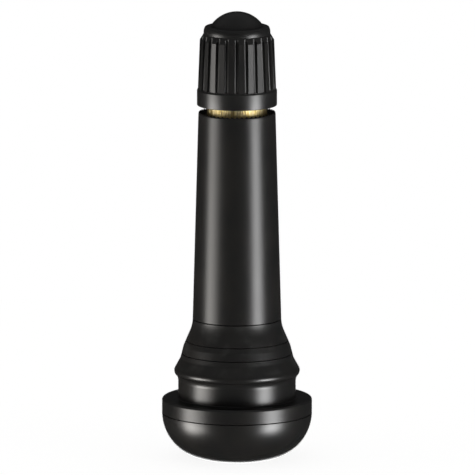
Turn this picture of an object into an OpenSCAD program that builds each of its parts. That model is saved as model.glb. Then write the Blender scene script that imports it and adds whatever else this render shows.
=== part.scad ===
// Snap-in tyre valve: a rubber body moulded on a brass stem, a screw-in valve core with a
// spring-loaded pin, and a grooved plastic dust cap with a sealing washer.
// Z is the valve's axis. The origin is the centre of the flat under the foot.
// Heights are called z, radii end in _r, and depths are measured down from the stem's mouth.

/* [Foot] */
// Diameter of the straight band round the foot
foot_d = 19.54; // [18:0.02:22]
// Diameter of the flat that the foot stands on
foot_flat_d = 7.4; // [5.4:0.1:7.8]
// Height of the rounded bowl under the band
bowl_h = 6; // [4.8:0.05:6.4]
// Height of the straight band
foot_band_h = 1.96; // [1.4:0.02:3]
// Rounding of the band's upper edge
foot_edge_r = 0.3; // [0.05:0.05:0.5]

/* [Neck and bead] */
// Diameter of the neck that sits in the wheel's hole
neck_d = 15.32; // [14.6:0.02:15.8]
// Height by which the bead that snaps through the wheel's hole stands out of the neck
bead_proud = 0.52; // [0.3:0.02:0.9]
// Radius of the bead's rounded crest
bead_round_r = 0.72; // [0.6:0.02:1.1]
// Radius of the hollow under the bead
bead_fillet_r = 1.4; // [0.4:0.1:2]
// Height of the bead's crest above the foot
bead_rise = 3.59; // [3:0.01:5]
// Diameter at the soft corner where the bead ends
shoulder_low_d = 14.76; // [14.4:0.02:15.2]
// Height of that corner above the bead's crest
shoulder_low_rise = 1.63; // [1.2:0.01:3]
// Diameter at the soft corner where the shoulder ends
shoulder_top_d = 13.9; // [13:0.02:14.2]
// Height of the shoulder between its two corners
shoulder_h = 1.67; // [1:0.01:3]

/* [Shaft] */
// Diameter of the shaft at its lower end
waist_d = 11.54; // [11:0.02:12]
// Height of the hollow curve between the shoulder and the shaft
blend_h = 3.45; // [2.6:0.05:5]
// Share of its turn at which that curve is an arc, with a straight cone under it; 1 is all arc
blend_arc_share = 0.64; // [0.6:0.01:1]
// Diameter of the shaft at its top
shaft_top_d = 10.04; // [9.4:0.02:10.8]
// Length of the tapered shaft
shaft_h = 27.18; // [22:0.02:40]
// Rounding of the shaft's upper edge
shaft_edge_r = 0.15; // [0.05:0.05:0.5]

/* [Stem] */
// Outer diameter of the brass stem's thread
stem_d = 7.74; // [7.6:0.02:7.9]
// Length of stem that stands out of the rubber
stem_free_h = 8.82; // [8:0.02:12]
// Chamfer at the stem's mouth, outside
stem_tip_chamfer = 0.45; // [0.1:0.05:0.7]
// Rubber between the stem's lower end and the ground
stem_floor_h = 5.4; // [3:0.1:6]
// Diameter of the anchor collar at the stem's lower end
anchor_d = 9.2; // [8.6:0.1:11]
// Height of the anchor collar
anchor_h = 1.3; // [0.8:0.1:2]
// Height of the cone above the anchor collar
anchor_cone_h = 1.5; // [0.8:0.1:2.5]
// Diameter of the stem between the anchor collar and the grip rings
shank_d = 7.1; // [6.8:0.05:7.4]
// Number of ring grooves that key the stem into the rubber
grip_count = 12; // [4:1:14]
// Distance from one ring groove to the next
grip_pitch = 1.7; // [1.4:0.1:2]
// Height of one ring groove
grip_w = 0.9; // [0.5:0.1:1.1]
// Depth of one ring groove
grip_depth = 0.42; // [0.2:0.02:0.6]
// Plain length of stem between the top of the rubber and the first ring groove
grip_top_gap = 2; // [1:0.1:4]

/* [Core chamber] */
// Outer diameter of the core's thread
core_thread_d = 5.1; // [5:0.02:5.2]
// Chamfer at the mouth, inside
mouth_chamfer = 0.35; // [0.1:0.05:0.5]
// Diameter of the sealing cone at its top
seat_top_d = 4.7; // [4.5:0.02:4.8]
// Straight length of bore above the sealing cone
seat_land_h = 0.7; // [0.4:0.05:1]
// Height of the sealing cone
seat_cone_h = 1.4; // [1.3:0.05:1.6]
// Height of the gasket that sits in the cone
gasket_bite_h = 1.2; // [1:0.05:1.3]
// Diameter of the air bore below the sealing cone
air_bore_d = 3.5; // [3.4:0.05:3.7]

/* [Core plug] */
// Height by which the pin still stands above the bridge when it is pushed down
pin_proud_h = 0.1; // [0.05:0.05:0.3]
// Height of the bridge above the threaded ring
bridge_h = 1.5; // [1.1:0.05:1.8]
// Width of the bridge that a key turns
bridge_w = 1.7; // [1.5:0.05:2.1]
// Length of the bridge, across the plug
bridge_l = 4.6; // [4:0.1:4.8]
// Height of the threaded ring
plug_ring_h = 2.8; // [2.6:0.05:3.2]
// Diameter of the air way through the threaded ring
plug_bore_d = 2.6; // [2.4:0.05:2.8]
// Lip under the barrel's head, which lets the plug turn on the barrel
swivel_lip_h = 0.3; // [0.2:0.05:0.4]
// Diameter of the hole through that lip
swivel_lip_d = 3; // [2.9:0.05:3.1]
// Height of the pocket that holds the barrel's head
swivel_pocket_h = 0.7; // [0.6:0.05:0.8]
// Diameter of that pocket
swivel_pocket_d = 3.5; // [3.4:0.05:3.7]

/* [Core barrel] */
// Gap between the plug and the barrel's flange
flange_gap = 0.15; // [0.1:0.05:0.2]
// Height of the flange that presses on the gasket
flange_h = 0.75; // [0.6:0.05:0.9]
// Diameter of that flange
flange_d = 4.4; // [4.2:0.05:4.5]
// Height of the gasket round the barrel
gasket_h = 1.9; // [1.7:0.05:2]
// Diameter of the barrel inside the gasket
gasket_bore_d = 3; // [2.9:0.05:3.1]
// Height of the rim that keeps the gasket on
gasket_rim_h = 0.4; // [0.3:0.05:0.6]
// Diameter of that rim
gasket_rim_d = 3.24; // [3.2:0.02:3.3]
// Diameter of the barrel's tube
tube_d = 3; // [2.9:0.05:3.1]
// Length of the tube below the rim
tube_h = 8.3; // [6:0.1:10]
// Diameter of the spring's room in the barrel
spring_room_d = 2.3; // [2.2:0.02:2.4]
// Roof above the spring's room, counted from the top of the flange
room_roof_h = 1.45; // [1:0.05:1.6]
// Diameter of the air way at both ends of the barrel
barrel_bore_d = 1.6; // [1.4:0.05:1.7]
// Height of the lip that the spring stands on, whose underside is the sealing face
barrel_lip_h = 0.7; // [0.4:0.05:1]

/* [Pin and spring] */
// Diameter of the pin
pin_d = 1; // [0.9:0.02:1.1]
// Depth of the pin's tip below the mouth
pin_depth = 0.3; // [0.1:0.05:0.5]
// Rounding of the pin's tip
pin_tip_r = 0.3; // [0.1:0.05:0.4]
// Way that the pin can be pushed down
pin_travel = 1.5; // [1:0.05:1.8]
// Gap above the pin's collar in the spring's room
collar_gap = 0.3; // [0.1:0.05:0.5]
// Height of the collar that the spring pushes on
collar_h = 0.6; // [0.4:0.05:0.8]
// Diameter of the collar
collar_d = 1.96; // [1.9:0.02:2]
// Thickness of the spring's wire
wire_d = 0.25; // [0.2:0.01:0.28]
// Diameter of the spring, between the middles of its wire
coil_d = 1.7; // [1.66:0.02:1.74]
// Number of open turns in the spring
coil_turns = 9; // [6:1:10]
// Gap between the closed turns at each end of the spring
end_turn_gap = 0.03; // [0.02:0.01:0.05]

/* [Cup and its gasket] */
// Thickness of the gasket in the cup
cup_gasket_h = 0.9; // [0.7:0.05:1.1]
// Height by which the gasket stands out of the cup
cup_gasket_proud = 0.15; // [0.1:0.05:0.25]
// Outer diameter of the cup
cup_d = 2.9; // [2.8:0.05:3]
// Thickness of the cup's wall and floor
cup_wall = 0.25; // [0.2:0.01:0.3]
// Height of the pin's riveted end under the cup
rivet_h = 0.3; // [0.2:0.05:0.5]
// Diameter of the riveted end
rivet_d = 1.7; // [1.5:0.05:1.9]

/* [Dust cap] */
// Brass that shows between the rubber and the closed cap
cap_gap = 1.02; // [0.8:0.02:2]
// Diameter of the plain band at the cap's lower edge
cap_band_d = 10.4; // [10.1:0.02:11]
// Height of that band
cap_band_h = 1.96; // [1.4:0.02:2.6]
// Rounding of the cap's lower edge
cap_edge_r = 0.1; // [0.1:0.02:0.6]
// Height of the small slope from the band to the grooved zone
cap_step_h = 0.24; // [0.1:0.02:0.4]
// Width of that slope
cap_step_w = 0.12; // [0.04:0.02:0.2]
// Diameter of the grooved zone at its upper end
rib_top_d = 9.66; // [9.4:0.02:9.8]
// Height of the slope that ends the ribs
rib_slope_h = 0.66; // [0.4:0.02:0.9]
// Number of grooves round the cap
groove_count = 24; // [16:1:28]
// Width of one groove at its floor
groove_w = 0.22; // [0.14:0.02:0.5]
// Depth of one groove at its lower end
groove_depth = 0.24; // [0.16:0.02:0.34]
// Angle by which each side wall of a groove opens
groove_draft = 20; // [2:1:25]
// Angle at which the first groove of the closed cap stands
groove_turn = 1; // [0:0.5:15]
// Diameter of the ring under the dome at its lower end
ring_low_d = 8.88; // [8.7:0.02:9]
// Diameter of that ring at its upper end
ring_top_d = 8.68; // [8.4:0.02:8.8]
// Height of the ring
ring_h = 1.16; // [0.8:0.02:1.3]
// Rounding of the ring's upper edge
ring_edge_r = 0.6; // [0.1:0.05:0.7]
// Diameter of the dome where it leaves the ring
dome_d = 6.96; // [6.6:0.02:7.2]
// Height of the dome above the ring
dome_h = 1.82; // [1.5:0.02:2.4]
// Thickness of the cap's roof above the sealing washer
roof_h = 1.64; // [1.4:0.02:1.8]
// Wall of the dome over the hollow that clears the pin
dome_wall = 1.15; // [1:0.05:1.4]
// Diameter of that hollow
hollow_d = 4.4; // [4:0.1:4.8]
// Chamfer at the cap's mouth
cap_mouth_chamfer = 0.4; // [0.2:0.05:0.5]

/* [Sealing washer in the cap] */
// Thickness of the washer
seal_h = 1; // [0.7:0.05:1.3]
// Hole in the washer
seal_hole_d = 3.4; // [2.6:0.1:3.8]

/* [Clearances] */
// Gap round a piece that turns or slides in another, on the radius
running_gap = 0.05; // [0.02:0.01:0.08]

/* [Hidden] */
$fn = 96;
// Straight pieces in one drawn arc
arc_steps = 16;
// Length by which a cut runs past what it cuts
overrun = 0.5;
// Angle of a direction that points at the axis
inward = 180;
// Sides of the spring's wire, and rings of it in one turn
wire_sides = 8;
turn_rings = 20;

rubber_colour = "#232324";
brass_colour = "#b79a54";
cap_colour = "#1d1d1e";
seal_colour = "#3a3a3c";
steel_colour = "#c9cbd0";

// Rubber body
foot_r = foot_d / 2;
flat_r = foot_flat_d / 2;
// The bowl is one arc that leaves the flat level and meets the band at bowl_h
bowl_r = (pow(foot_r - flat_r, 2) + pow(bowl_h, 2)) / (2 * bowl_h);
bowl_end = atan2(bowl_h - bowl_r, foot_r - flat_r);
foot_top_z = bowl_h + foot_band_h;
neck_r = neck_d / 2;
bead_centre = [neck_r + bead_proud - bead_round_r, foot_top_z + bead_rise];
shoulder_low = [shoulder_low_d / 2, bead_centre.y + shoulder_low_rise];
shoulder_top = [shoulder_top_d / 2, shoulder_low.y + shoulder_h];
// The hollow under the bead leaves the neck and meets the crest as a tangent to both
fillet_reach = bead_round_r + bead_fillet_r;
fillet_drop = sqrt(pow(fillet_reach, 2) - pow(fillet_reach - bead_proud, 2));
fillet_centre = [neck_r + bead_fillet_r, bead_centre.y - fillet_drop];
fillet_end = acos(bead_proud / fillet_reach - 1);
// Angle on the crest where the upper flank leaves it as a tangent
bead_to_crease = shoulder_low - bead_centre;
bead_end = atan2(bead_to_crease.y, bead_to_crease.x) - acos(bead_round_r / norm(bead_to_crease));
waist_z = shoulder_top.y + blend_h;
waist_r = waist_d / 2;
blend_w = shoulder_top.x - waist_r;
// The cone leans by this angle, and the arc ends as a tangent to the cone and to the shaft
blend_lean = 2 * atan2(blend_w, blend_h) * blend_arc_share;
blend_r = (blend_h * tan(blend_lean) - blend_w) * cos(blend_lean) / (1 - cos(blend_lean));
shaft_top_z = waist_z + shaft_h;
shaft_top_r = shaft_top_d / 2;

// Stem
stem_r = stem_d / 2;
stem_top_z = shaft_top_z + stem_free_h;
anchor_r = anchor_d / 2;
shank_r = shank_d / 2;
anchor_top_z = stem_floor_h + anchor_h;
grip_top_z = shaft_top_z - grip_top_gap;
grip_low_z = grip_top_z - grip_count * grip_pitch;
grip_r = stem_r - grip_depth;
air_bore_r = air_bore_d / 2;
chamber_r = core_thread_d / 2 + running_gap;
seat_top_r = seat_top_d / 2;

// Core
pin_r = pin_d / 2;
pin_top_z = stem_top_z - pin_depth;
bridge_top_z = pin_top_z - pin_travel - pin_proud_h;
ring_top_z = bridge_top_z - bridge_h;
ring_low_z = ring_top_z - plug_ring_h;
pocket_low_z = ring_low_z + swivel_lip_h;
pocket_top_z = pocket_low_z + swivel_pocket_h;
flange_top_z = ring_low_z - flange_gap;
flange_low_z = flange_top_z - flange_h;
gasket_low_z = flange_low_z - gasket_h;
seat_top_z = gasket_low_z + gasket_bite_h;
seat_low_z = seat_top_z - seat_cone_h;
chamber_low_z = seat_top_z + seat_land_h;
rim_low_z = gasket_low_z - gasket_rim_h;
tube_low_z = rim_low_z - tube_h;
room_top_z = flange_top_z - room_roof_h;
room_low_z = tube_low_z + barrel_lip_h;
gasket_r = seat_top_r - running_gap;
gasket_cone_z = seat_low_z + (gasket_r - air_bore_r) / (seat_top_r - air_bore_r) * seat_cone_h;
gasket_low_r = air_bore_r + (gasket_low_z - seat_low_z) / seat_cone_h * (seat_top_r - air_bore_r);
collar_top_z = room_top_z - collar_gap;
collar_low_z = collar_top_z - collar_h;
cup_top_z = tube_low_z - cup_gasket_proud;
cup_floor_z = tube_low_z - cup_gasket_h;
cup_low_z = cup_floor_z - cup_wall;
cup_inner_r = cup_d / 2 - cup_wall;

// Spring
coil_r = coil_d / 2;
spring_h = collar_low_z - room_low_z;
end_pitch = wire_d + end_turn_gap;
open_pitch = (spring_h - wire_d - 2 * end_pitch) / coil_turns;
all_turns = coil_turns + 2;
// Height of the wire's middle after a number of turns, with one closed turn at each end
function coil_z(turn) =
    wire_d / 2 + end_pitch * min(turn, 1) + open_pitch * max(0, min(turn - 1, coil_turns))
    + end_pitch * max(0, turn - 1 - coil_turns);

// Cap
cap_low_z = shaft_top_z + cap_gap;
cap_bore_r = stem_r + running_gap;
ceiling_z = stem_top_z + seal_h;
cap_shoulder_z = ceiling_z + roof_h;
cap_band_z = cap_low_z + cap_band_h;
rib_low_z = cap_band_z + cap_step_h;
rib_end_z = cap_shoulder_z - ring_h;
rib_top_z = rib_end_z - rib_slope_h;
rib_low_r = cap_band_d / 2 - cap_step_w;
rib_top_r = rib_top_d / 2;
ring_low_r = ring_low_d / 2;
// The grooves get deeper upwards, until their floors meet the foot of the ring
groove_low_r = rib_low_r - groove_depth;
groove_lean = atan2(groove_low_r - ring_low_r, rib_end_z - rib_low_z);
dome_r = (pow(dome_d / 2, 2) + pow(dome_h, 2)) / (2 * dome_h);
dome_centre_z = cap_shoulder_z + dome_h - dome_r;
dome_start = asin((cap_shoulder_z - dome_centre_z) / dome_r);
hollow_r = hollow_d / 2;
hollow_dome_r = dome_r - dome_wall;
hollow_start = acos(hollow_r / hollow_dome_r);
seal_r = cap_bore_r - running_gap;

// Points along an arc from one angle to another
function arc(centre, r, from, to) =
    [for (i = [0:arc_steps]) let (a = from + (to - from) * i / arc_steps) centre + r * [cos(a), sin(a)]];

// Outline of the stem with its bore filled, from its lower end to its mouth
stem_outline = concat(
    [[0, stem_floor_h], [anchor_r, stem_floor_h], [anchor_r, anchor_top_z],
     [shank_r, anchor_top_z + anchor_cone_h], [shank_r, grip_low_z], [stem_r, grip_low_z]],
    [for (i = [0:grip_count - 1], p = [[stem_r, 0], [grip_r, grip_depth / 2],
        [grip_r, grip_w - grip_depth / 2], [stem_r, grip_w]])
        [p.x, grip_low_z + grip_pitch * i + (grip_pitch - grip_w) / 2 + p.y]],
    [[stem_r, stem_top_z - stem_tip_chamfer], [stem_r - stem_tip_chamfer, stem_top_z],
     [0, stem_top_z]]
);

// Rubber body, moulded round the stem, with the air hole through its floor
module rubber_body() {
    color(rubber_colour)
    rotate_extrude()
    difference() {
        polygon(concat(
            [[0, 0]],
            arc([flat_r, bowl_r], bowl_r, -90, bowl_end),
            arc([foot_r - foot_edge_r, foot_top_z - foot_edge_r], foot_edge_r, 0, 90),
            [[neck_r, foot_top_z]],
            arc(fillet_centre, bead_fillet_r, inward, fillet_end),
            arc(bead_centre, bead_round_r, fillet_end - inward, bead_end),
            [shoulder_low, shoulder_top],
            arc([waist_r + blend_r, waist_z], blend_r, inward + blend_lean, inward),
            arc([shaft_top_r - shaft_edge_r, shaft_top_z - shaft_edge_r], shaft_edge_r, 0, 90),
            [[0, shaft_top_z]]
        ));
        polygon(stem_outline);
        translate([0, -overrun]) square([air_bore_r, stem_floor_h + 2 * overrun]);
    }
}

// Turned brass stem with the core chamber and the air bore
module valve_stem() {
    color(brass_colour)
    rotate_extrude()
    difference() {
        polygon(stem_outline);
        polygon([
            [0, stem_floor_h - overrun], [air_bore_r, stem_floor_h - overrun],
            [air_bore_r, seat_low_z], [seat_top_r, seat_top_z], [seat_top_r, chamber_low_z],
            [chamber_r, chamber_low_z], [chamber_r, stem_top_z - mouth_chamfer],
            [chamber_r + mouth_chamfer, stem_top_z], [chamber_r + mouth_chamfer, stem_top_z + overrun],
            [0, stem_top_z + overrun]
        ]);
    }
}

// Outside of the cap before its grooves are cut, and the bore that its thread fills
module cap_blank() {
    rotate_extrude()
    difference() {
        polygon(concat(
            [[0, cap_low_z]],
            arc([cap_band_d / 2 - cap_edge_r, cap_low_z + cap_edge_r], cap_edge_r, -90, 0),
            [[cap_band_d / 2, cap_band_z], [rib_low_r, rib_low_z], [rib_top_r, rib_top_z],
             [ring_low_r, rib_end_z]],
            arc([ring_top_d / 2 - ring_edge_r, cap_shoulder_z - ring_edge_r], ring_edge_r, 0, 90),
            arc([0, dome_centre_z], dome_r, dome_start, 90)
        ));
        polygon(concat(
            [[0, cap_low_z - overrun], [cap_bore_r + cap_mouth_chamfer, cap_low_z - overrun],
             [cap_bore_r + cap_mouth_chamfer, cap_low_z], [cap_bore_r, cap_low_z + cap_mouth_chamfer],
             [cap_bore_r, ceiling_z], [hollow_r, ceiling_z]],
            arc([0, dome_centre_z], hollow_dome_r, hollow_start, 90)
        ));
    }
}

// Cutter for one groove: its floor leans in and runs out at the foot of the ring
module cap_groove() {
    cut_l = (rib_end_z - rib_low_z) / cos(groove_lean);
    reach = groove_depth + overrun;
    open_w = groove_w + 2 * reach * tan(groove_draft);
    translate([ring_low_r, 0, rib_end_z])
    rotate([0, -groove_lean, 0])
    translate([0, 0, -cut_l])
    linear_extrude(cut_l)
    polygon([[0, -groove_w / 2], [reach, -open_w / 2], [reach, open_w / 2], [0, groove_w / 2]]);
}

// Moulded dust cap with its grip grooves
module dust_cap() {
    color(cap_colour)
    difference() {
        cap_blank();
        for (i = [0:groove_count - 1])
            rotate([0, 0, groove_turn + i * 360 / groove_count]) cap_groove();
    }
}

// Rubber washer that the cap presses on the stem's mouth
module cap_seal() {
    color(seal_colour)
    translate([0, 0, stem_top_z])
    difference() {
        cylinder(r = seal_r, h = seal_h);
        translate([0, 0, -overrun]) cylinder(d = seal_hole_d, h = seal_h + 2 * overrun);
    }
}

// Plug of the core: a threaded ring, and the bridge that a key turns and the pin runs through
module core_plug() {
    color(brass_colour)
    difference() {
        union() {
            translate([0, 0, ring_low_z]) cylinder(d = core_thread_d, h = plug_ring_h);
            intersection() {
                translate([0, 0, pocket_top_z]) cylinder(d = bridge_l, h = bridge_top_z - pocket_top_z);
                translate([-bridge_l, -bridge_w / 2, pocket_top_z])
                    cube([2 * bridge_l, bridge_w, bridge_top_z - pocket_top_z]);
            }
        }
        translate([0, 0, ring_low_z - overrun])
            cylinder(r = pin_r + running_gap, h = bridge_top_z - ring_low_z + 2 * overrun);
        translate([0, 0, ring_low_z - overrun])
            cylinder(d = swivel_lip_d, h = swivel_lip_h + 2 * overrun);
        translate([0, 0, pocket_low_z]) cylinder(d = swivel_pocket_d, h = swivel_pocket_h);
        difference() {
            translate([0, 0, pocket_low_z])
                cylinder(d = plug_bore_d, h = ring_top_z + overrun - pocket_low_z);
            translate([-bridge_l, -bridge_w / 2, ring_top_z])
                cube([2 * bridge_l, bridge_w, bridge_h]);
        }
    }
}

// Barrel of the core: the swivelling head, the gasket's flange, the tube and the sealing lip
module core_barrel() {
    head_top_z = pocket_top_z - running_gap;
    head_low_z = pocket_low_z + running_gap;
    head_r = swivel_pocket_d / 2 - running_gap;
    head_neck_r = swivel_lip_d / 2 - running_gap;
    color(brass_colour)
    rotate_extrude()
    polygon([
        [barrel_bore_d / 2, tube_low_z], [tube_d / 2, tube_low_z], [tube_d / 2, rim_low_z],
        [gasket_rim_d / 2, rim_low_z], [gasket_rim_d / 2, gasket_low_z],
        [gasket_bore_d / 2, gasket_low_z], [gasket_bore_d / 2, flange_low_z],
        [flange_d / 2, flange_low_z], [flange_d / 2, flange_top_z], [head_neck_r, flange_top_z],
        [head_neck_r, head_low_z], [head_r, head_low_z], [head_r, head_top_z],
        [barrel_bore_d / 2, head_top_z], [barrel_bore_d / 2, room_top_z],
        [spring_room_d / 2, room_top_z], [spring_room_d / 2, room_low_z],
        [barrel_bore_d / 2, room_low_z]
    ]);
}

// Gasket round the barrel, with a cone that fits the cone in the stem
module barrel_gasket() {
    color(seal_colour)
    rotate_extrude()
    polygon([
        [gasket_bore_d / 2, gasket_low_z], [gasket_low_r, gasket_low_z],
        [gasket_r, gasket_cone_z], [gasket_r, flange_low_z], [gasket_bore_d / 2, flange_low_z]
    ]);
}

// Pin, with the collar that the spring lifts and the riveted end that holds the cup
module core_pin() {
    color(brass_colour)
    rotate_extrude()
    polygon(concat(
        [[0, cup_low_z - rivet_h], [rivet_d / 2, cup_low_z - rivet_h], [rivet_d / 2, cup_low_z],
         [pin_r, cup_low_z], [pin_r, collar_low_z], [collar_d / 2, collar_low_z],
         [collar_d / 2, collar_top_z], [pin_r, collar_top_z]],
        arc([pin_r - pin_tip_r, pin_top_z - pin_tip_r], pin_tip_r, 0, 90),
        [[0, pin_top_z]]
    ));
}

// Coil spring, as one swept wire that stands on the barrel's lip
module core_spring() {
    rings = all_turns * turn_rings;
    points = [for (i = [0:rings], j = [0:wire_sides - 1])
        let (turn = i / turn_rings, a = 360 * turn, b = 360 * j / wire_sides,
             r = coil_r + wire_d / 2 * cos(b))
        [r * cos(a), r * sin(a), room_low_z + coil_z(turn) + wire_d / 2 * sin(b)]];
    sides = [for (i = [0:rings - 1], j = [0:wire_sides - 1])
        let (k = (j + 1) % wire_sides)
        [i * wire_sides + j, i * wire_sides + k, (i + 1) * wire_sides + k, (i + 1) * wire_sides + j]];
    first_end = [for (j = [wire_sides - 1:-1:0]) j];
    last_end = [for (j = [0:wire_sides - 1]) rings * wire_sides + j];
    color(steel_colour)
    polyhedron(points = points, faces = concat(sides, [first_end, last_end]));
}

// Cup at the pin's lower end
module core_cup() {
    color(brass_colour)
    rotate_extrude()
    polygon([
        [pin_r, cup_low_z], [cup_d / 2, cup_low_z], [cup_d / 2, cup_top_z],
        [cup_inner_r, cup_top_z], [cup_inner_r, cup_floor_z], [pin_r, cup_floor_z]
    ]);
}

// Gasket in the cup, which closes the barrel
module cup_gasket() {
    color(seal_colour)
    rotate_extrude()
    translate([pin_r, cup_floor_z]) square([cup_inner_r - pin_r, cup_gasket_h]);
}

rubber_body();
valve_stem();
dust_cap();
cap_seal();
core_plug();
core_barrel();
barrel_gasket();
core_pin();
core_spring();
core_cup();
cup_gasket();
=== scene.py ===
import math

import bmesh
import bpy
from mathutils import Matrix, Vector


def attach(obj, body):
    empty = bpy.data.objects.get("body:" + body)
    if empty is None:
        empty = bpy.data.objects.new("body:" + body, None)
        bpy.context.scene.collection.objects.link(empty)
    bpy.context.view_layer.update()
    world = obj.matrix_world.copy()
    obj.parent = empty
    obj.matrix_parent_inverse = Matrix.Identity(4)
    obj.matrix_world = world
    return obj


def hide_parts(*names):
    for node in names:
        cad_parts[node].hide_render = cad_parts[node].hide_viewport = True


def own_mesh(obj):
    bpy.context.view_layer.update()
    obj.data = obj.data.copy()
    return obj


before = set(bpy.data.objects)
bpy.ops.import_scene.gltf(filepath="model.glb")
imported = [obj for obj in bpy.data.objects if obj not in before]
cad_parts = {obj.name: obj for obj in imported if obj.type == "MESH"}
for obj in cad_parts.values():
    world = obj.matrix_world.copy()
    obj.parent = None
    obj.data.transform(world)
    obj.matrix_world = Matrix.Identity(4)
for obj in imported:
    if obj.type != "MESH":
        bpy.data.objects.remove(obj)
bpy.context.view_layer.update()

# Camera: the photograph looks along +Y from 9.7 degrees above, from so far off that the
# valve shows almost without perspective. One pixel is 0.13 mm square to the view.
pixel_size = 0.00013
picture_size = 475
sensor_width = 0.036
lens_length = 1.0
camera_elevation = math.radians(9.7)
camera_aim = Vector((0.000065, 0, 0.02903))
camera_distance = pixel_size * picture_size * lens_length / sensor_width

camera = bpy.data.objects.new("camera", bpy.data.cameras.new("camera"))
bpy.context.scene.collection.objects.link(camera)
camera.data.lens = 1000 * lens_length
camera.data.sensor_width = 1000 * sensor_width
camera.data.clip_end = 10
to_camera = Vector((0, -math.cos(camera_elevation), math.sin(camera_elevation)))
camera.location = camera_aim + to_camera * camera_distance
camera.rotation_euler = (math.pi / 2 - camera_elevation, 0, 0)
bpy.context.scene.camera = camera
bpy.context.scene.view_settings.view_transform = "Standard"

# Studio: a white backdrop, a pale round floor, a dark tent that the camera doesn't see, and a tall
# soft box on each side of the camera, which draw the two stripes on every round face. Their light
# fades towards their edges. A narrow one behind the valve lights its far side.
backdrop_light = 0.3
floor_radius = 0.12
floor_glow = 0.885
floor_roughness = 0.9
floor_colour = (0.8, 0.8, 0.79, 1)
tent_radius = 1.1
tent_side_glow = 0.026
tent_roof_glow = 0.22
tent_roof_from = 0.3
tent_roof_full = 0.95
box_distance = 0.95
soft_boxes = {
    "left_box": {
        "across": ((-93, 0), (-83, 1), (-75, 1), (-49, 0)),
        "up": ((-37, 0), (-31, 0.45), (-26, 0.87), (-20, 1), (-14, 0.54), (-9, 0.28), (-4, 0.165),
               (1, 0.045), (10, 0.035), (15, 0)),
        "radiance": 21, "colour": (1, 0.97, 0.93, 1)},
    "right_box": {
        "across": ((38, 0), (50, 1), (60, 1), (76, 0)),
        "up": ((-37, 0), (-31, 0.45), (-26, 0.84), (-20, 1), (-14, 0.68), (-9, 0.48), (-4, 0.32),
               (1, 0.055), (10, 0.045), (15, 0)),
        "radiance": 23, "colour": (1, 1, 1, 1)},
    "back_box": {
        "across": ((170, 0), (175, 1), (185, 1), (190, 0)),
        "up": ((-36, 0), (-28, 1), (-12, 1), (-4, 0)),
        "radiance": 5, "colour": (1, 1, 1, 1)},
}


def new_material(name):
    """A material with its Principled shader, and the tree's nodes and links."""
    material = bpy.data.materials.new(name)
    material.use_nodes = True
    tree = material.node_tree
    return material, tree, tree.nodes["Principled BSDF"]


def light_studio():
    """A white world to the camera and in reflections, which lights the valve only faintly."""
    world = bpy.data.worlds.new("white_backdrop")
    bpy.context.scene.world = world
    world.use_nodes = True
    tree = world.node_tree
    background = tree.nodes["Background"]
    path = tree.nodes.new("ShaderNodeLightPath")
    seen = tree.nodes.new("ShaderNodeMath")
    seen.operation = "MAXIMUM"
    seen_through = tree.nodes.new("ShaderNodeMath")
    seen_through.operation = "MAXIMUM"
    tree.links.new(path.outputs["Is Camera Ray"], seen.inputs[0])
    tree.links.new(path.outputs["Is Glossy Ray"], seen.inputs[1])
    tree.links.new(seen.outputs[0], seen_through.inputs[0])
    tree.links.new(path.outputs["Is Transmission Ray"], seen_through.inputs[1])
    strength = tree.nodes.new("ShaderNodeMapRange")
    strength.inputs["To Min"].default_value = backdrop_light
    tree.links.new(seen_through.outputs[0], strength.inputs["Value"])
    tree.links.new(strength.outputs[0], background.inputs["Strength"])
    background.inputs["Color"].default_value = (1, 1, 1, 1)


def make_floor():
    """The floor: lit by the soft boxes, and to the camera it glows almost white as well."""
    bpy.ops.object.select_all(action="DESELECT")
    bpy.ops.mesh.primitive_circle_add(vertices=96, radius=floor_radius, fill_type="NGON")
    floor = bpy.context.object
    floor.name = "floor"
    material, tree, shader = new_material("pale_floor")
    shader.inputs["Base Color"].default_value = floor_colour
    shader.inputs["Roughness"].default_value = floor_roughness
    shader.inputs["Specular IOR Level"].default_value = 0
    shader.inputs["Emission Color"].default_value = (1, 1, 1, 1)
    path = tree.nodes.new("ShaderNodeLightPath")
    glow = tree.nodes.new("ShaderNodeMath")
    glow.operation = "MULTIPLY"
    glow.inputs[1].default_value = floor_glow
    tree.links.new(path.outputs["Is Camera Ray"], glow.inputs[0])
    tree.links.new(glow.outputs[0], shader.inputs["Emission Strength"])
    floor.data.materials.append(material)
    floor.visible_glossy = False
    floor.visible_shadow = False


def make_tent():
    """A dark sphere round all, whose roof glows a little more than its sides."""
    bpy.ops.object.select_all(action="DESELECT")
    bpy.ops.mesh.primitive_uv_sphere_add(segments=48, ring_count=24, radius=tent_radius)
    tent = bpy.context.object
    tent.name = "dark_tent"
    material, tree, shader = new_material("dark_tent")
    shader.inputs["Base Color"].default_value = (0, 0, 0, 1)
    shader.inputs["Specular IOR Level"].default_value = 0
    shader.inputs["Emission Color"].default_value = (1, 1, 1, 1)
    place = tree.nodes.new("ShaderNodeTexCoord")
    split = tree.nodes.new("ShaderNodeSeparateXYZ")
    tree.links.new(place.outputs["Object"], split.inputs[0])
    glow = tree.nodes.new("ShaderNodeMapRange")
    glow.interpolation_type = "SMOOTHSTEP"
    glow.inputs["From Min"].default_value = tent_roof_from * tent_radius
    glow.inputs["From Max"].default_value = tent_roof_full * tent_radius
    glow.inputs["To Min"].default_value = tent_side_glow
    glow.inputs["To Max"].default_value = tent_roof_glow
    tree.links.new(split.outputs["Z"], glow.inputs["Value"])
    tree.links.new(glow.outputs[0], shader.inputs["Emission Strength"])
    tent.data.materials.append(material)
    tent.visible_camera = False


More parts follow.
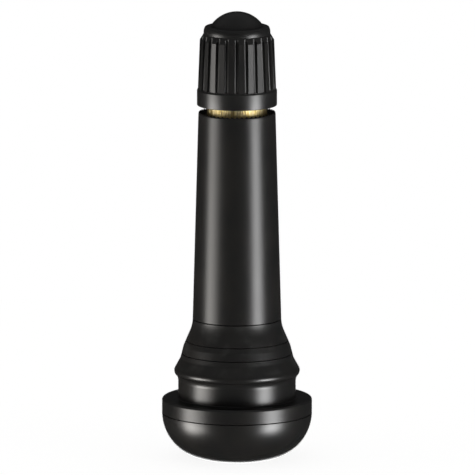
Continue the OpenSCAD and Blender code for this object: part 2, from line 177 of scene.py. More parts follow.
def fade(tree, along, stops):
    """The light's share along one side of a soft box, from stops of angles and shares."""
    middle = (stops[0][0] + stops[-1][0]) / 2
    reach = math.tan(math.radians(stops[-1][0] - middle))
    ramp = tree.nodes.new("ShaderNodeValToRGB")
    points = ramp.color_ramp.elements
    points.remove(points[1])
    for i, (angle, share) in enumerate(stops):
        at = 0.5 + math.tan(math.radians(angle - middle)) / reach / 2
        point = points.new(at) if i else points[0]
        point.position = at
        point.color = (share, share, share, 1)
    tree.links.new(along, ramp.inputs["Fac"])
    return ramp.outputs["Color"]


def add_soft_box(name, across, up, radiance, colour):
    """A glowing panel that faces the valve. The angles across are counted from the camera, and
    those up from level, both seen from the valve."""
    side = math.radians((across[0][0] + across[-1][0]) / 2)
    rise = math.radians((up[0][0] + up[-1][0]) / 2)
    level = math.cos(rise)
    out = Vector((math.sin(side) * level, -math.cos(side) * level, math.sin(rise)))
    bpy.ops.object.select_all(action="DESELECT")
    bpy.ops.mesh.primitive_plane_add(
        size=1, location=camera_aim + out * box_distance,
        rotation=out.to_track_quat("Z", "Y").to_euler())
    box = bpy.context.object
    box.name = name
    box.scale = [
        2 * box_distance * math.tan(math.radians(stops[-1][0] - stops[0][0]) / 2)
        for stops in (across, up)] + [1]
    material, tree, shader = new_material(name)
    shader.inputs["Base Color"].default_value = (0, 0, 0, 1)
    shader.inputs["Specular IOR Level"].default_value = 0
    shader.inputs["Emission Color"].default_value = colour
    place = tree.nodes.new("ShaderNodeTexCoord")
    split = tree.nodes.new("ShaderNodeSeparateXYZ")
    tree.links.new(place.outputs["UV"], split.inputs[0])
    both = tree.nodes.new("ShaderNodeMath")
    both.operation = "MULTIPLY"
    tree.links.new(fade(tree, split.outputs["X"], across), both.inputs[0])
    tree.links.new(fade(tree, split.outputs["Y"], up), both.inputs[1])
    strength = tree.nodes.new("ShaderNodeMath")
    strength.operation = "MULTIPLY"
    strength.inputs[1].default_value = radiance
    tree.links.new(both.outputs[0], strength.inputs[0])
    tree.links.new(strength.outputs[0], shader.inputs["Emission Strength"])
    box.data.materials.append(material)
    box.visible_camera = False


light_studio()
make_floor()
make_tent()
for name, values in soft_boxes.items():
    add_soft_box(name, **values)

# Rubber body: natural rubber moulded round the brass stem in one shot, with the rounded foot,
# the neck for the wheel's hole, the snap-in bead and the tapered shaft. Its mould leaves fine
# creases round it, and at the top the rubber ends in small teeth round the brass.
mm = 0.001
weld = 0.0005 * mm
foot_r = 9.77
foot_flat_r = 3.7
bowl_top = 6.0
foot_top = 7.96
foot_edge_r = 0.3
neck_r = 7.66
neck_corner_r = 0.15
bead_fillet_r = 1.4
bead_r = 0.72
bead_middle = (7.46, 11.55)
shoulder_low = (7.38, 13.18)
shoulder_top = (6.95, 14.85)
shoulder_soft_r = 1.2
blend_arc_share = 0.64
waist = (5.77, 18.45)
shaft_top = (5.02, 45.48)
lip_edge_r = 0.15
crease_w = 0.14
crease_depth = 0.16
shoulder_crease_z = 13.85
flare_crease_z = 15.53
waist_crease_z = 18.37
stem_hole_r = 3.8
air_hole_r = 1.75
floor_top = 5.4
round_steps = 144
rubber_edge_angle = 28
tooth_steps = 3
rim_r = 4.02
rim_drop = 0.5
tooth_reach = 0.05
tooth_height = 0.15
patch_scale = 260
grain_scale = 9000
grain_height = 0.01
rubber_colour = (0.0105, 0.0105, 0.0105, 1)
rubber_warm = (0.0145, 0.0135, 0.0125, 1)
rubber_roughness = 0.29
dull_edge = 0.3
dull_by = 0.06
# Pale patches on the shoulder between bead and waist: part dust, part painted sheen standing in for
# its patchy highlights.
dust_and_sheen_scale = 420
dust_and_sheen_colour = (0.034, 0.034, 0.033, 1)


def arc(middle, radius, start, end, steps=12):
    """Points along an arc of an outline, with its angles in degrees from level."""
    angles = [math.radians(start + (end - start) * i / steps) for i in range(steps + 1)]
    return [(middle[0] + radius * math.cos(a), middle[1] + radius * math.sin(a)) for a in angles]


def rounded(before, corner, after, radius, steps=6):
    """Points along the arc that rounds a corner of an outline."""
    to_before = (Vector(before) - Vector(corner)).normalized()
    to_after = (Vector(after) - Vector(corner)).normalized()
    half = to_before.angle(to_after) / 2
    start = Vector(corner) + to_before * radius / math.tan(half)
    middle = Vector(corner) + (to_before + to_after).normalized() * radius / math.sin(half)
    first = start - middle
    turn_by = -math.copysign(math.pi - 2 * half, to_before.cross(to_after))
    angles = [turn_by * i / steps for i in range(steps + 1)]
    return [
        (middle.x + first.x * math.cos(a) - first.y * math.sin(a),
         middle.y + first.x * math.sin(a) + first.y * math.cos(a)) for a in angles]


def crease(at, lean):
    """Three points of a fine groove in a face that leans inwards by this angle on its way up."""
    along = Vector((-math.sin(lean), math.cos(lean))) * crease_w / 2
    out = Vector((math.cos(lean), math.sin(lean))) * crease_depth
    middle = Vector(at)
    return [tuple(middle - along), tuple(middle - out), tuple(middle + along)]


def wire(name, outline, closed=True):
    """A wire along an outline of radii and heights, in millimetres, left open in edit mode."""
    bpy.ops.object.select_all(action="DESELECT")
    bpy.ops.mesh.primitive_plane_add(size=mm)
    piece = bpy.context.object
    piece.name = name
    piece.data.name = name
    bpy.ops.object.mode_set(mode="EDIT")
    bpy.ops.mesh.merge(type="CENTER")
    places = [Vector((r * mm, 0, z * mm)) for r, z in outline]
    if closed:
        places.append(places[0])
    bpy.ops.transform.translate(value=places[0])
    for before, after in zip(places, places[1:]):
        bpy.ops.mesh.extrude_region_move(TRANSFORM_OT_translate={"value": after - before})
    bpy.ops.mesh.select_all(action="SELECT")
    return piece


def turn(name, outline, closed=True, steps=round_steps):
    """A round piece: its outline is spun once round the valve's axis."""
    piece = wire(name, outline, closed)
    bpy.ops.mesh.spin(steps=steps, angle=2 * math.pi, center=(0, 0, 0), axis=(0, 0, 1))
    bpy.ops.mesh.select_all(action="SELECT")
    bpy.ops.mesh.remove_doubles(threshold=weld)
    bpy.ops.mesh.normals_make_consistent(inside=False)
    bpy.ops.object.mode_set(mode="OBJECT")
    return piece


def step_of(place):
    """Number of the spin's step at which a point of a turned piece stands."""
    return round(math.degrees(math.atan2(place.y, place.x)) / 360 * round_steps) % round_steps


def select_points(piece, wanted):
    """Goes into edit mode with just the wanted points of a piece selected."""
    bpy.ops.object.select_all(action="DESELECT")
    piece.select_set(True)
    bpy.context.view_layer.objects.active = piece
    bpy.ops.object.mode_set(mode="EDIT")
    bpy.ops.mesh.select_mode(type="VERT")
    bpy.ops.mesh.select_all(action="DESELECT")
    mesh = bmesh.from_edit_mesh(piece.data)
    for point in mesh.verts:
        point.select = wanted(point.co / mm)
    mesh.select_flush_mode()
    bmesh.update_edit_mesh(piece.data)


def smooth(piece, angle):
    """Shades a piece smooth, but for edges sharper than the angle, with its long faces even."""
    bpy.ops.object.select_all(action="DESELECT")
    piece.select_set(True)
    bpy.context.view_layer.objects.active = piece
    bpy.ops.object.shade_smooth_by_angle(angle=math.radians(angle))
    even = piece.modifiers.new("even_faces", "WEIGHTED_NORMAL")
    even.keep_sharp = True
    bpy.ops.object.modifier_apply(modifier=even.name)


def rubber_outline():
    """The rubber's half section, from the air hole out over foot, bead and shaft, and back in."""
    bowl_r = ((foot_r - foot_flat_r) ** 2 + bowl_top ** 2) / (2 * bowl_top)
    bowl_end = math.degrees(math.atan2(bowl_top - bowl_r, foot_r - foot_flat_r))
    reach = bead_r + bead_fillet_r
    fillet_side = neck_r + bead_fillet_r - bead_middle[0]
    fillet_drop = math.sqrt(reach ** 2 - fillet_side ** 2)
    fillet_end = 180 - math.degrees(math.asin(fillet_drop / reach))
    to_corner = Vector(shoulder_low) - Vector(bead_middle)
    bead_end = math.degrees(
        math.atan2(to_corner.y, to_corner.x) - math.acos(bead_r / to_corner.length))
    blend_w = shoulder_top[0] - waist[0]
    blend_h = waist[1] - shoulder_top[1]
    lean = 2 * math.atan2(blend_w, blend_h) * blend_arc_share
    blend_r = (blend_h * math.tan(lean) - blend_w) * math.cos(lean) / (1 - math.cos(lean))
    blend = arc((waist[0] + blend_r, waist[1]), blend_r, 180 + math.degrees(lean), 180, 16)
    shoulder_lean = math.atan2(shoulder_low[0] - shoulder_top[0], shoulder_top[1] - shoulder_low[1])
    shoulder_crease = (
        shoulder_low[0] - (shoulder_crease_z - shoulder_low[1]) * math.tan(shoulder_lean),
        shoulder_crease_z)
    flare_crease = (
        shoulder_top[0] - (flare_crease_z - shoulder_top[1]) * math.tan(lean), flare_crease_z)
    bead = arc(bead_middle, bead_r, fillet_end - 180, bead_end, 20)
    shaft_lean = math.atan2(waist[0] - shaft_top[0], shaft_top[1] - waist[1])
    waist_crease = (waist[0], waist_crease_z)
    outline = [(air_hole_r, 0)]
    outline += arc((foot_flat_r, bowl_r), bowl_r, -90, bowl_end, 32)[:-1]
    outline += crease((foot_r, bowl_top), 0)
    outline += arc((foot_r - foot_edge_r, foot_top - foot_edge_r), foot_edge_r, 0, 90, 6)
    outline += arc((neck_r + neck_corner_r, foot_top + neck_corner_r), neck_corner_r, 270, 180, 5)
    outline += arc((neck_r + bead_fillet_r, bead_middle[1] - fillet_drop),
                   bead_fillet_r, 180, fillet_end)[:-1]
    outline += crease(bead[0], math.radians(fillet_end - 180))
    outline += bead[1:]
    outline += rounded(bead[-1], shoulder_low, shoulder_top, shoulder_soft_r)
    outline += crease(shoulder_crease, shoulder_lean)
    outline += rounded(shoulder_low, shoulder_top, blend[0], shoulder_soft_r)
    outline += crease(flare_crease, lean)
    outline += [point for point in blend if point[1] < waist_crease_z - crease_w / 2]
    outline += crease(waist_crease, shaft_lean)
    outline += arc((shaft_top[0] - lip_edge_r, shaft_top[1] - lip_edge_r), lip_edge_r, 0, 90, 6)
    outline += [(rim_r, shaft_top[1] - rim_drop), (stem_hole_r, shaft_top[1] - rim_drop),
                (stem_hole_r, floor_top), (air_hole_r, floor_top)]
    return outline


def raise_teeth(piece):
    """Raises the lip's crest at every third step, which leaves small teeth round the brass."""
    select_points(piece, lambda p: (
        p.z > shaft_top[1] - tooth_reach and step_of(p) % tooth_steps == 0))
    bpy.ops.transform.translate(value=(0, 0, tooth_height * mm))
    bpy.ops.object.mode_set(mode="OBJECT")


def moulded(name, colour, warm, roughness, grain):
    """Moulded rubber or plastic: a fine grain, faint flow patches and an uneven gloss."""
    material, tree, shader = new_material(name)
    nodes, links = tree.nodes, tree.links
    place = nodes.new("ShaderNodeTexCoord")
    patches = nodes.new("ShaderNodeTexNoise")
    patches.inputs["Scale"].default_value = patch_scale
    patches.inputs["Detail"].default_value = 4
    links.new(place.outputs["Object"], patches.inputs["Vector"])
    tone = nodes.new("ShaderNodeValToRGB")
    tone.color_ramp.elements[0].position = 0.35
    tone.color_ramp.elements[0].color = colour
    tone.color_ramp.elements[1].position = 0.7
    tone.color_ramp.elements[1].color = warm
    links.new(patches.outputs["Fac"], tone.inputs["Fac"])
    links.new(tone.outputs["Color"], shader.inputs["Base Color"])
    gloss = nodes.new("ShaderNodeMapRange")
    gloss.inputs["To Min"].default_value = roughness - 0.04
    gloss.inputs["To Max"].default_value = roughness + 0.05
    links.new(patches.outputs["Fac"], gloss.inputs["Value"])
    links.new(gloss.outputs[0], shader.inputs["Roughness"])
    fine = nodes.new("ShaderNodeTexNoise")
    fine.inputs["Scale"].default_value = grain_scale
    fine.inputs["Detail"].default_value = 3
    links.new(place.outputs["Object"], fine.inputs["Vector"])
    bump = nodes.new("ShaderNodeBump")
    bump.inputs["Strength"].default_value = grain
    bump.inputs["Distance"].default_value = grain_height * mm
    links.new(fine.outputs["Fac"], bump.inputs["Height"])
    links.new(bump.outputs["Normal"], shader.inputs["Normal"])
    return material


def dull_shoulder(material):
    """Makes the rubber between bead and waist duller, with faint pale patches that are part dust
    and part painted sheen.
    """
    tree = material.node_tree
    nodes, links = tree.nodes, tree.links
    shader = nodes["Principled BSDF"]
    place = nodes.new("ShaderNodeTexCoord")
    split = nodes.new("ShaderNodeSeparateXYZ")
    links.new(place.outputs["Object"], split.inputs[0])
    above = nodes.new("ShaderNodeMapRange")
    above.inputs["From Min"].default_value = (bead_middle[1] + bead_r / 2) * mm
    above.inputs["From Max"].default_value = (bead_middle[1] + bead_r) * mm
    links.new(split.outputs["Z"], above.inputs["Value"])
    below = nodes.new("ShaderNodeMapRange")
    below.inputs["From Min"].default_value = waist_crease_z * mm
    below.inputs["From Max"].default_value = (waist_crease_z - dull_edge) * mm
    links.new(split.outputs["Z"], below.inputs["Value"])
    zone = nodes.new("ShaderNodeMath")
    zone.operation = "MULTIPLY"
    links.new(above.outputs[0], zone.inputs[0])
    links.new(below.outputs[0], zone.inputs[1])
    dust = nodes.new("ShaderNodeTexNoise")
    dust.inputs["Scale"].default_value = dust_and_sheen_scale
    dust.inputs["Detail"].default_value = 5
    links.new(place.outputs["Object"], dust.inputs["Vector"])
    patches = nodes.new("ShaderNodeMapRange")
    patches.inputs["From Min"].default_value = 0.5
    patches.inputs["From Max"].default_value = 0.75
    links.new(dust.outputs["Fac"], patches.inputs["Value"])
    spots = nodes.new("ShaderNodeMath")
    spots.operation = "MULTIPLY"
    links.new(patches.outputs[0], spots.inputs[0])
    links.new(zone.outputs[0], spots.inputs[1])
    # Mixes in the pale patches, part dust and part painted sheen, only between bead and waist.
    dust_and_sheen_mix = nodes.new("ShaderNodeMix")
    dust_and_sheen_mix.data_type = "RGBA"
    links.new(spots.outputs[0], dust_and_sheen_mix.inputs["Factor"])
    links.new(shader.inputs["Base Color"].links[0].from_socket, dust_and_sheen_mix.inputs["A"])
    dust_and_sheen_mix.inputs["B"].default_value = dust_and_sheen_colour
    links.new(dust_and_sheen_mix.outputs["Result"], shader.inputs["Base Color"])
    duller = nodes.new("ShaderNodeMath")
    duller.operation = "MULTIPLY_ADD"
    links.new(zone.outputs[0], duller.inputs[0])
    duller.inputs[1].default_value = dull_by
    links.new(shader.inputs["Roughness"].links[0].from_socket, duller.inputs[2])
    links.new(duller.outputs[0], shader.inputs["Roughness"])


body = turn("moulded_body", rubber_outline())
raise_teeth(body)
smooth(body, rubber_edge_angle)
satin_rubber = moulded("satin_rubber", rubber_colour, rubber_warm, rubber_roughness, 0.2)
dull_shoulder(satin_rubber)
body.data.materials.append(satin_rubber)
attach(body, "valve")
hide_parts("rubber_body")

# Brass stem: turned from bar, with an anchor collar and ring grooves that hold the rubber, a
# fluted collar where it leaves the rubber, the valve thread outside, and inside the thread,
# the sealing cone and the air bore for the valve core.
stem_r = 3.87
anchor_r = 4.6
anchor_top = 6.7
anchor_cone_top = 8.2
shank_r = 3.55
grip_low = 23.08
grip_pitch = 1.7
grip_count = 12
grip_w = 0.9
grip_depth = 0.42
collar_r = 3.95
collar_top_r = 3.81
collar_low = 45.0
collar_top = 46.38
collar_edge = 0.06
flute_depth = 0.04
relief_low = 46.5
relief_top = 47.05
stem_top = 54.3
tip_chamfer = 0.45
thread_pitch = 0.79375
thread_root_r = 3.42
thread_root_w = 0.1
thread_slope = math.tan(math.radians(30))
cutter_reach = 0.08
seat_low = 45.1
seat_top = 46.5
seat_top_r = 2.35
chamber_low = 47.2
chamber_r = 2.6
chamber_land_r = 2.33
chamber_flat_w = 0.3
mouth_chamfer = 0.35
core_pitch = 0.70556
winding_steps = 60
brass_edge_angle = 25
brass_colour = (0.88, 0.74, 0.42, 1)
brass_tarnish = (0.58, 0.42, 0.11, 1)
brass_roughness = 0.36
turning_stretch = (30, 30, 9000)
turning_height = 0.02
streak_stretch = (8000, 8000, 600)
streak_height = 0.04


def wind(name, profile, turns, pitch):
    """A tube of this closed profile, in millimetres, wound right-handed round the valve's axis."""
    piece = wire(name, profile)
    bpy.ops.mesh.remove_doubles(threshold=weld)
    bpy.ops.object.mode_set(mode="OBJECT")
    screw = piece.modifiers.new("wind", "SCREW")
    screw.axis = "Z"
    screw.angle = 2 * math.pi
    screw.iterations = turns
    screw.screw_offset = pitch * mm
    screw.steps = winding_steps
    screw.render_steps = winding_steps
    screw.use_normal_calculate = True
    bpy.ops.object.modifier_apply(modifier=screw.name)
    return piece


def close_ends(piece):
    """Closes the open ends of a wound tube and points its faces outwards."""
    bpy.ops.object.select_all(action="DESELECT")
    piece.select_set(True)
    bpy.context.view_layer.objects.active = piece
    bpy.ops.object.mode_set(mode="EDIT")
    bpy.ops.mesh.select_all(action="SELECT")
    bpy.ops.mesh.remove_doubles(threshold=weld)
    bpy.ops.mesh.fill_holes(sides=0)
    bpy.ops.mesh.select_all(action="SELECT")
    bpy.ops.mesh.normals_make_consistent(inside=False)
    bpy.ops.object.mode_set(mode="OBJECT")


def thread_cutter(deep_r, flat_w, open_r, low, turns, pitch):
    """A wound cutter for one thread groove, with its narrow flat at deep_r, open to open_r."""
    half = flat_w / 2
    open_half = half + abs(open_r - deep_r) * thread_slope
    cutter = wind("thread_cutter", [
        (deep_r, low - half), (open_r, low - open_half),
        (open_r, low + open_half), (deep_r, low + half)], turns, pitch)
    close_ends(cutter)
    return cutter


def combine(piece, other, operation):
    """Cuts, joins or intersects a closed piece with another, which is then deleted."""
    bpy.ops.object.select_all(action="DESELECT")
    piece.select_set(True)
    bpy.context.view_layer.objects.active = piece
    boolean = piece.modifiers.new("combine", "BOOLEAN")
    boolean.operation = operation
    boolean.solver = "EXACT"
    boolean.object = other
    bpy.ops.object.modifier_apply(modifier=boolean.name)
    bpy.data.objects.remove(other)


def stem_outline():
    """The stem's half section, from its anchor collar up the outside and down its bores."""
    outline = [(air_hole_r, floor_top), (anchor_r, floor_top), (anchor_r, anchor_top),
               (shank_r, anchor_cone_top), (shank_r, grip_low), (stem_r, grip_low)]
    for i in range(grip_count):
        low = grip_low + grip_pitch * i + (grip_pitch - grip_w) / 2
        outline += [(stem_r, low), (stem_r - grip_depth, low + grip_depth / 2),
                    (stem_r - grip_depth, low + grip_w - grip_depth / 2), (stem_r, low + grip_w)]
    outline += [
        (stem_r, collar_low), (collar_r, collar_low + collar_edge),
        (collar_top_r, collar_top - collar_edge), (collar_top_r - collar_edge, collar_top),
        (thread_root_r, relief_low), (thread_root_r, relief_top),
        (stem_r, relief_top + stem_r - thread_root_r), (stem_r, stem_top - tip_chamfer),
        (stem_r - tip_chamfer, stem_top), (chamber_land_r + mouth_chamfer, stem_top),
        (chamber_land_r, stem_top - mouth_chamfer), (chamber_land_r, chamber_low),
        (seat_top_r, chamber_low), (seat_top_r, seat_top), (air_hole_r, seat_low)]
    return outline


def cut_flutes(piece):
    """Draws in every other line of the collar, so that it has fine flutes all round."""
    select_points(piece, lambda p: (
        collar_low + collar_edge / 2 < p.z < collar_top + collar_edge / 2
        and p.xy.length > thread_root_r and step_of(p) % 2 == 0))
    shrink = 1 - flute_depth / collar_r
    bpy.ops.transform.resize(value=(shrink, shrink, 1), center_override=(0, 0, 0))
    bpy.ops.object.mode_set(mode="OBJECT")


def turned_brass(name, colour, tarnish, roughness):
    """Turned brass: fine lines round it, thin streaks along it and a slightly uneven tarnish."""
    material, tree, shader = new_material(name)
    nodes, links = tree.nodes, tree.links
    shader.inputs["Metallic"].default_value = 1
    place = nodes.new("ShaderNodeTexCoord")
    round_lines = nodes.new("ShaderNodeMapping")
    round_lines.inputs["Scale"].default_value = turning_stretch
    links.new(place.outputs["Object"], round_lines.inputs["Vector"])
    lines = nodes.new("ShaderNodeTexNoise")
    lines.inputs["Scale"].default_value = 1
    lines.inputs["Detail"].default_value = 2
    links.new(round_lines.outputs[0], lines.inputs["Vector"])
    long_streaks = nodes.new("ShaderNodeMapping")
    long_streaks.inputs["Scale"].default_value = streak_stretch
    links.new(place.outputs["Object"], long_streaks.inputs["Vector"])
    streaks = nodes.new("ShaderNodeTexNoise")
    streaks.inputs["Scale"].default_value = 1
    streaks.inputs["Detail"].default_value = 4
    links.new(long_streaks.outputs[0], streaks.inputs["Vector"])
    tone = nodes.new("ShaderNodeValToRGB")
    tone.color_ramp.elements[0].position = 0.3
    tone.color_ramp.elements[0].color = tarnish
    tone.color_ramp.elements[1].position = 0.62
    tone.color_ramp.elements[1].color = colour
    links.new(streaks.outputs["Fac"], tone.inputs["Fac"])
    links.new(tone.outputs["Color"], shader.inputs["Base Color"])
    gloss = nodes.new("ShaderNodeMapRange")
    gloss.inputs["To Min"].default_value = roughness + 0.08
    gloss.inputs["To Max"].default_value = roughness - 0.06
    links.new(streaks.outputs["Fac"], gloss.inputs["Value"])
    links.new(gloss.outputs[0], shader.inputs["Roughness"])
    bump = nodes.new("ShaderNodeBump")
    bump.inputs["Strength"].default_value = 0.3
    bump.inputs["Distance"].default_value = turning_height * mm
    links.new(lines.outputs["Fac"], bump.inputs["Height"])
    ridges = nodes.new("ShaderNodeBump")
    ridges.inputs["Strength"].default_value = 1
    ridges.inputs["Distance"].default_value = streak_height * mm
    links.new(streaks.outputs["Fac"], ridges.inputs["Height"])
    links.new(bump.outputs["Normal"], ridges.inputs["Normal"])
    links.new(ridges.outputs["Normal"], shader.inputs["Normal"])
    return material


stem = turn("turned_stem", stem_outline())
cut_flutes(stem)
outer_turns = math.ceil((stem_top - relief_top) / thread_pitch) + 1
combine(stem, thread_cutter(
    thread_root_r, thread_root_w, stem_r + cutter_reach, relief_top - thread_pitch / 2,
    outer_turns, thread_pitch), "DIFFERENCE")
core_turns = math.ceil((stem_top - chamber_low) / core_pitch) + 1
combine(stem, thread_cutter(
    chamber_r, chamber_flat_w, chamber_land_r - cutter_reach, chamber_low + chamber_flat_w,
    core_turns, core_pitch), "DIFFERENCE")
smooth(stem, brass_edge_angle)
brass = turned_brass("turned_brass", brass_colour, brass_tarnish, brass_roughness)
stem.data.materials.append(brass)
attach(stem, "valve")
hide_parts("valve_stem")

# Core plug: a small brass screw that holds the core in the stem, with a bridge across its air
# way for the key. The pin runs through the bridge, and the barrel's head turns in the pocket
# below it.
plug_r = 2.55
plug_low = 48.1
plug_top = 50.9
plug_edge = 0.15
plug_lip_r = 1.5
plug_pocket_r = 1.75
plug_pocket_low = 48.4
plug_pocket_top = 49.1
plug_bore_r = 1.3
plug_root_r = 2.27
plug_root_w = 0.06
bridge_w = 1.7
bridge_half_l = 2.3
bridge_top = 52.4
bridge_edge = 0.14
pin_hole_r = 0.55
cut_past = 1
plug_steps = 96
plug_edge_angle = 30


def make_bridge():
    """The bridge: a block with rounded ends and broken edges, and the pin's hole through it."""
    bpy.ops.object.select_all(action="DESELECT")
    bpy.ops.mesh.primitive_cube_add(size=mm)
    bridge = bpy.context.object
    bridge.name = "bridge"
    height = bridge_top - plug_pocket_top
    bpy.ops.object.mode_set(mode="EDIT")
    bpy.ops.transform.resize(value=(3 * bridge_half_l, bridge_w, height))
    bpy.ops.transform.translate(value=(0, 0, (plug_pocket_top + height / 2) * mm))
    bpy.ops.object.mode_set(mode="OBJECT")
    combine(bridge, turn("bridge_ends", [
        (0, plug_pocket_top - cut_past), (bridge_half_l, plug_pocket_top - cut_past),
        (bridge_half_l, bridge_top - bridge_edge), (bridge_half_l - bridge_edge, bridge_top),
        (0, bridge_top)], closed=False, steps=64), "INTERSECT")
    combine(bridge, turn("pin_hole", [
        (0, plug_pocket_top - cut_past), (pin_hole_r, plug_pocket_top - cut_past),
        (pin_hole_r, bridge_top + cut_past), (0, bridge_top + cut_past)],
        closed=False, steps=48), "DIFFERENCE")
    return bridge


plug = turn("threaded_plug", [
    (plug_lip_r, plug_low), (plug_r - plug_edge, plug_low), (plug_r, plug_low + plug_edge),
    (plug_r, plug_top - plug_edge), (plug_r - plug_edge, plug_top), (plug_bore_r, plug_top),
    (plug_bore_r, plug_pocket_top), (plug_pocket_r, plug_pocket_top),
    (plug_pocket_r, plug_pocket_low), (plug_lip_r, plug_pocket_low)], steps=plug_steps)
combine(plug, make_bridge(), "UNION")
plug_thread_low = chamber_low + chamber_flat_w + core_pitch / 2
combine(plug, thread_cutter(
    plug_root_r, plug_root_w, plug_r + cutter_reach, plug_thread_low,
    math.ceil((plug_top - plug_thread_low) / core_pitch) + 1, core_pitch), "DIFFERENCE")
smooth(plug, plug_edge_angle)
plug.data.materials.append(brass)
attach(plug, "valve")
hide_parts("core_plug")

# Core barrel, pin and cup: turned brass pieces inside the stem, which keep their CAD shape.
# Only the pin's tip shows, once the dust cap is off.
core_colour = (0.74, 0.55, 0.24, 1)
core_tarnish = (0.55, 0.38, 0.15, 1)
core_roughness = 0.34


def dress(node, material):
    """Gives a CAD node that keeps its own shape a material."""
    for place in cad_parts[node].material_slots:
        place.material = material


core_brass = turned_brass("core_brass", core_colour, core_tarnish, core_roughness)
for node in ("core_barrel", "core_pin", "core_cup"):
    dress(node, core_brass)

# Gaskets of the core: the hard red cone round the barrel that seals in the stem, and the soft
# black ring in the cup that closes the barrel's lower end.
gasket_colour = (0.3, 0.018, 0.012, 1)
gasket_warm = (0.42, 0.035, 0.02, 1)
seal_colour = (0.018, 0.018, 0.019, 1)
seal_warm = (0.026, 0.025, 0.025, 1)
dress("barrel_gasket", moulded("red_gasket", gasket_colour, gasket_warm, 0.5, 0.3))
seal_rubber = moulded("matt_seal_rubber", seal_colour, seal_warm, 0.6, 0.4)
dress("cup_gasket", seal_rubber)

# Core spring: hard drawn steel wire, wound with one closed turn at each end. It stands on the
# barrel's lip and lifts the pin by its collar.
wire_r = 0.125
coil_r = 0.85
spring_low = 37.3
spring_top = 45.6
spring_open_turns = 9
spring_end_gap = 0.03
wire_sides = 14
wire_edge_angle = 40
wire_dark = (0.42, 0.43, 0.45, 1)
wire_light = (0.66, 0.67, 0.69, 1)
wire_line_scale = 5000


def drawn_steel():
    """Bright drawn wire: a fine, slightly uneven tone and gloss."""
    material, tree, shader = new_material("drawn_steel")
    nodes, links = tree.nodes, tree.links
    shader.inputs["Metallic"].default_value = 1
    place = nodes.new("ShaderNodeTexCoord")
    lines = nodes.new("ShaderNodeTexNoise")
    lines.inputs["Scale"].default_value = wire_line_scale
    lines.inputs["Detail"].default_value = 3
    links.new(place.outputs["Object"], lines.inputs["Vector"])
    tone = nodes.new("ShaderNodeValToRGB")
    tone.color_ramp.elements[0].color = wire_dark
    tone.color_ramp.elements[1].color = wire_light
    links.new(lines.outputs["Fac"], tone.inputs["Fac"])
    links.new(tone.outputs["Color"], shader.inputs["Base Color"])
    gloss = nodes.new("ShaderNodeMapRange")
    gloss.inputs["To Min"].default_value = 0.22
    gloss.inputs["To Max"].default_value = 0.36
    links.new(lines.outputs["Fac"], gloss.inputs["Value"])
    links.new(gloss.outputs[0], shader.inputs["Roughness"])
    return material


def spring_stretch(low, turns, pitch):
    """Part of the spring, from the height of its wire's middle."""
    profile = arc((coil_r, low), wire_r, 0, 360 - 360 / wire_sides, wire_sides - 1)
    return wind("wound_spring", profile, turns, pitch)


end_pitch = 2 * wire_r + spring_end_gap
open_low = spring_low + wire_r + end_pitch
open_top = spring_top - wire_r - end_pitch
stretches = [
    spring_stretch(spring_low + wire_r, 1, end_pitch),
    spring_stretch(open_low, spring_open_turns, (open_top - open_low) / spring_open_turns),
    spring_stretch(open_top, 1, end_pitch),
]
bpy.ops.object.select_all(action="DESELECT")
for stretch in stretches:
    stretch.select_set(True)
spring = stretches[0]
bpy.context.view_layer.objects.active = spring
bpy.ops.object.join()
close_ends(spring)
smooth(spring, wire_edge_angle)
spring.data.materials.append(drawn_steel())
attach(spring, "valve")
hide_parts("core_spring")
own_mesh(spring)

# Dust cap: moulded in hard black plastic, with a plain band at its mouth, flat ribs to grip,
# a ring and a dome. Its thread runs on the stem's, and its hollow top clears the pin.
cap_low = 46.5
cap_band_r = 5.2
cap_band_top = 48.46
cap_step_w = 0.11
cap_edge_r = 0.1
rib_low = 48.7
rib_top = 55.07
rib_end = 55.87
rib_count = 24
rib_low_r = 5.07
rib_top_r = 4.82
rib_end_r = 4.33
rib_root_r = 4.2
groove_turn = -1
groove_half_w = 0.3
groove_depth = 0.3
groove_low_r = 5.14
groove_top_r = 4.72
groove_top = 55.8
groove_sides = 32
cap_core_in = 0.08
core_low_r = 4.64
core_top_r = 4.32
ring_r = 4.34
ring_wall_top = 56.1
ring_side_r = 1.3
ring_side_turn = 28.8
ring_edge_r = 0.2
dome_foot_r = 3.46
dome_foot = 56.83
dome_top = 58.74
dome_wall = 1.15
ceiling = 55.3
hollow_r = 2.2
cap_bore_r = 3.92
cap_mouth_chamfer = 0.4
cap_thread_low = 47.1
cap_thread_top = 54.0
cap_thread_r = 3.5
cap_thread_depth_r = 3.92
cap_thread_flat_w = 0.175
cap_thread_slope_h = 0.25
cap_edge_angle = 20
cap_colour = (0.0105, 0.0105, 0.0105, 1)
cap_warm = (0.0135, 0.013, 0.0125, 1)
cap_roughness = 0.31


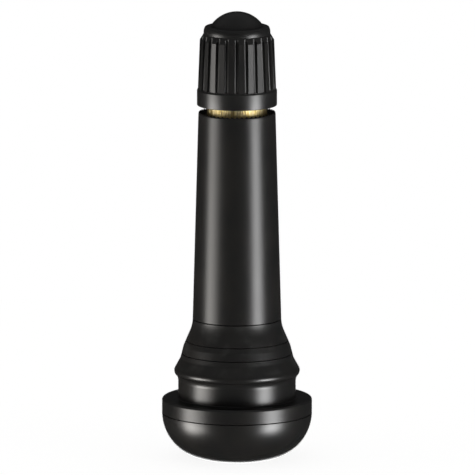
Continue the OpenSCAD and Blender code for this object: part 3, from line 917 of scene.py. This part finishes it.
def cap_outline():
    """The cap's half section, from its hollow out round the mouth and over ring and dome."""
    dome_h = dome_top - dome_foot
    dome_r = (dome_foot_r ** 2 + dome_h ** 2) / (2 * dome_h)
    dome_middle = (0, dome_top - dome_r)
    dome_start = math.degrees(math.asin((dome_foot - dome_middle[1]) / dome_r))
    inner_r = dome_r - dome_wall
    inner_start = math.degrees(math.acos(hollow_r / inner_r))
    outline = arc(dome_middle, inner_r, 90, inner_start, 12)
    outline += [
        (hollow_r, ceiling), (cap_bore_r, ceiling),
        (cap_bore_r, cap_thread_top + cap_thread_slope_h), (cap_thread_r, cap_thread_top),
        (cap_thread_r, cap_thread_low + cap_thread_slope_h),
        (cap_bore_r, cap_thread_low), (cap_bore_r, cap_low + cap_mouth_chamfer),
        (cap_bore_r + cap_mouth_chamfer, cap_low)]
    outline += arc((cap_band_r - cap_edge_r, cap_low + cap_edge_r), cap_edge_r, -90, 0, 6)
    outline += [
        (cap_band_r, cap_band_top), (cap_band_r - cap_step_w, rib_low),
        (core_low_r, rib_low), (core_top_r, groove_top - cap_core_in),
        (ring_r, groove_top - cap_core_in)]
    side = arc((ring_r - ring_side_r, ring_wall_top), ring_side_r, 0, ring_side_turn, 10)
    to_edge = math.radians(ring_side_turn)
    edge_middle = (side[-1][0] - ring_edge_r * math.cos(to_edge),
                   side[-1][1] - ring_edge_r * math.sin(to_edge))
    outline += side + arc(edge_middle, ring_edge_r, ring_side_turn, 90, 6)[1:]
    outline += arc(dome_middle, dome_r, dome_start, 90, 24)
    return outline


def copies_round(first, count):
    """Copies of a piece all round the axis, joined in one mesh."""
    ring = []
    for i in range(count):
        piece = first.copy()
        piece.data = first.data.copy()
        bpy.context.scene.collection.objects.link(piece)
        piece.data.transform(Matrix.Rotation(2 * math.pi * i / count, 4, "Z"))
        ring.append(piece)
    bpy.data.objects.remove(first)
    bpy.ops.object.select_all(action="DESELECT")
    for piece in ring:
        piece.select_set(True)
    bpy.context.view_layer.objects.active = ring[0]
    bpy.ops.object.join()
    return ring[0]


def groove_bar():
    """A bar of oval section that leans inwards, as wide as one groove."""
    bpy.ops.object.select_all(action="DESELECT")
    bpy.ops.mesh.primitive_circle_add(vertices=groove_sides, radius=mm, fill_type="NGON")
    bar = bpy.context.object
    bar.name = "groove_bar"
    bpy.ops.object.mode_set(mode="EDIT")
    bpy.ops.transform.resize(value=(groove_depth, groove_half_w, 1))
    bpy.ops.transform.translate(value=(groove_low_r * mm, 0, rib_low * mm))
    bpy.ops.mesh.extrude_region_move(TRANSFORM_OT_translate={
        "value": ((groove_top_r - groove_low_r) * mm, 0, (groove_top - rib_low) * mm)})
    bpy.ops.mesh.select_all(action="SELECT")
    bpy.ops.mesh.normals_make_consistent(inside=False)
    bpy.ops.object.mode_set(mode="OBJECT")
    return bar


def make_ribs():
    """The ribs: a sleeve of flat faces, with a groove cut along each of its corners."""
    to_corner = 1 / math.cos(math.pi / rib_count)
    ribs = turn("ribs", [(r * to_corner, z) for r, z in (
        (rib_root_r, rib_low - cap_core_in), (rib_low_r, rib_low - cap_core_in),
        (rib_top_r, rib_top), (rib_end_r, rib_end), (rib_root_r, rib_end))], steps=rib_count)
    combine(ribs, copies_round(groove_bar(), rib_count), "DIFFERENCE")
    ribs.data.transform(Matrix.Rotation(math.radians(groove_turn), 4, "Z"))
    return ribs


cap = turn("ribbed_cap", cap_outline(), closed=False)
combine(cap, make_ribs(), "UNION")
combine(cap, thread_cutter(
    cap_thread_depth_r, cap_thread_flat_w, cap_thread_r - cutter_reach, relief_top,
    math.ceil((cap_thread_top - relief_top) / thread_pitch), thread_pitch), "DIFFERENCE")
smooth(cap, cap_edge_angle)
cap.data.materials.append(moulded("cap_plastic", cap_colour, cap_warm, cap_roughness, 0.2))
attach(cap, "cap")
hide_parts("dust_cap")

# Sealing washer: a soft rubber ring in the cap's roof, which keeps its CAD shape. It lies on
# the stem's mouth while the cap is screwed down.
dress("cap_seal", seal_rubber)
